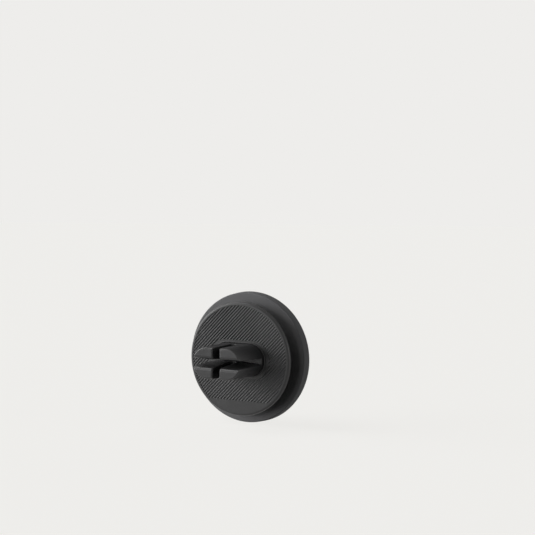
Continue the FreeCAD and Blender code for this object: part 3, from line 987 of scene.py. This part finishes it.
@dataclass
class Studio:
    """Plain pale floor, soft light and the camera."""

    floor_radius: float = 6.0
    floor_steps: int = 96
    floor_colour: str = "606060"
    glow_colour: str = "fffefb"
    floor_glow: float = 0.801
    backdrop_colour: str = "eeedeb"
    room_colour: str = "ffffff"
    ambient: float = 0.02
    key: Softbox = Softbox("key_softbox", azimuth=-64.0, elevation=7.0, width=53.0, light=3.5)
    top: Softbox = Softbox("top_softbox", azimuth=-66.0, elevation=54.0, width=30.0, light=0.8)
    rear: Softbox = Softbox("rear_softbox", azimuth=180.0, elevation=3.0, width=40.0, light=0.7)
    side: Softbox = Softbox("side_softbox", azimuth=105.0, elevation=8.0, width=40.0, light=0.5)
    fill: Softbox = Softbox("fill_softbox", azimuth=-18.0, elevation=6.0, width=16.0, light=0.25)
    lens: float = 80.0
    sensor: float = 36.0
    target: tuple[float, float, float] = (0.00757, 0.0, 0.03982)
    azimuth: float = 29.25
    elevation: float = 2.95
    roll: float = 0.54
    distance: float = 0.5229

    @staticmethod
    def direction(azimuth: float, elevation: float) -> Vector:
        """Gives the direction towards a place.

        Args:
            azimuth: Degrees to the right of -Y.
            elevation: Degrees above the floor.

        Returns:
            A unit vector.
        """
        turn, rise = math.radians(azimuth), math.radians(elevation)
        across = math.cos(rise)
        return Vector((math.sin(turn) * across, -math.cos(turn) * across, math.sin(rise)))

    @staticmethod
    def plainly_seen(tree: bpy.types.NodeTree) -> bpy.types.NodeSocket:
        """Tells the rays that show the background from those that light the part.

        Args:
            tree: Node tree that gets the test.

        Returns:
            A socket that is 1 for camera, glossy and transmission rays, and 0 for the others.
        """
        ray = add_node(tree, "ShaderNodeLightPath")
        seen = ray.outputs["Is Camera Ray"]
        for kind in ("Is Glossy Ray", "Is Transmission Ray"):
            either = add_node(tree, "ShaderNodeMath", operation="MAXIMUM")
            tree.links.new(seen, either.inputs[0])
            tree.links.new(ray.outputs[kind], either.inputs[1])
            seen = either.outputs["Value"]
        return seen

    def floor(self) -> bpy.types.Object:
        """Lays the floor under the puck's lowest point.

        Returns:
            The floor.
        """
        height = CAD_BOX[0][2] / MM
        corners = arc((0.0, 0.0), self.floor_radius / MM, 0, 360, self.floor_steps)[:-1]
        points = np.array([(x, y, height) for x, y in corners])
        floor = new_object("studio_floor", points, [list(range(len(corners)))[::-1]])
        made, tree = new_material("paper_matte_pale")
        paper = add_node(tree, "ShaderNodeBsdfDiffuse", {"Color": linear(self.floor_colour)})
        glow = add_node(
            tree, "ShaderNodeEmission", {"Color": linear(self.glow_colour), "Strength": self.floor_glow}
        )
        seen = add_node(tree, "ShaderNodeMixShader", links={"Fac": self.plainly_seen(tree)})
        tree.links.new(glow.outputs["Emission"], seen.inputs[2])
        both = add_node(tree, "ShaderNodeAddShader")
        tree.links.new(paper.outputs["BSDF"], both.inputs[0])
        tree.links.new(seen.outputs["Shader"], both.inputs[1])
        add_node(tree, "ShaderNodeOutputMaterial", links={"Surface": both.outputs["Shader"]})
        floor.data.materials.append(made)
        # The part hangs clear in use, so the floor takes its shadow but holds back none of its light.
        floor.visible_shadow = False
        return floor

    def sky(self) -> None:
        """Sets the room's weak light, and the pale backdrop that the camera and glossy surfaces see."""
        world = bpy.data.worlds.new("studio_room")
        world.use_nodes = True
        bpy.context.scene.world = world
        tree = world.node_tree
        tree.nodes.clear()
        room = add_node(
            tree, "ShaderNodeBackground", {"Color": linear(self.room_colour), "Strength": self.ambient}
        )
        backdrop = add_node(tree, "ShaderNodeBackground", {"Color": linear(self.backdrop_colour)})
        mix = add_node(tree, "ShaderNodeMixShader", links={"Fac": self.plainly_seen(tree)})
        tree.links.new(room.outputs["Background"], mix.inputs[1])
        tree.links.new(backdrop.outputs["Background"], mix.inputs[2])
        add_node(tree, "ShaderNodeOutputWorld", links={"Surface": mix.outputs["Shader"]})

    def hang(self, box: Softbox) -> None:
        """Hangs a softbox.

        Args:
            box: The softbox.
        """
        light = bpy.data.lights.new(box.name, "SUN")
        light.energy = box.light
        light.angle = math.radians(box.width)
        lamp = bpy.data.objects.new(box.name, light)
        towards = self.direction(box.azimuth, box.elevation)
        lamp.rotation_euler = towards.to_track_quat("Z", "Y").to_euler()
        bpy.context.scene.collection.objects.link(lamp)

    def camera(self) -> None:
        """Sets the camera at the picture's viewing angle."""
        data = bpy.data.cameras.new("camera")
        data.lens = self.lens
        data.sensor_width = self.sensor
        camera = bpy.data.objects.new("camera", data)
        towards = self.direction(self.azimuth, self.elevation)
        camera.location = Vector(self.target) + self.distance * towards
        roll = Quaternion((0, 0, 1), math.radians(self.roll))
        camera.rotation_euler = (towards.to_track_quat("Z", "Y") @ roll).to_euler()
        bpy.context.scene.collection.objects.link(camera)
        bpy.context.scene.camera = camera

    def build(self) -> None:
        """Sets up the floor, the light and the camera."""
        self.floor()
        self.sky()
        for box in (self.key, self.top, self.rear, self.side, self.fill):
            self.hang(box)
        self.camera()
        bpy.context.scene.view_settings.view_transform = "Standard"


def main() -> None:
    """Builds the pieces in order and reports each one."""
    logging.basicConfig(level=logging.INFO, format="%(name)s: %(message)s")
    Studio().build()
    materials = {slot: finish.material() for slot, finish in FINISHES.items()}
    for node in Mechanism().dress(materials):
        LOG.info("dressed %s", node)
    disc = RibbedDisc.from_frame()
    clip = VentClip.from_frame(disc)
    pad = PhonePad.from_frame()
    for maker in (disc, clip, pad):
        piece = maker.build(materials)
        LOG.info("built %s with %d faces", piece.name, len(piece.data.polygons))


if __name__ == "__main__":
    main()
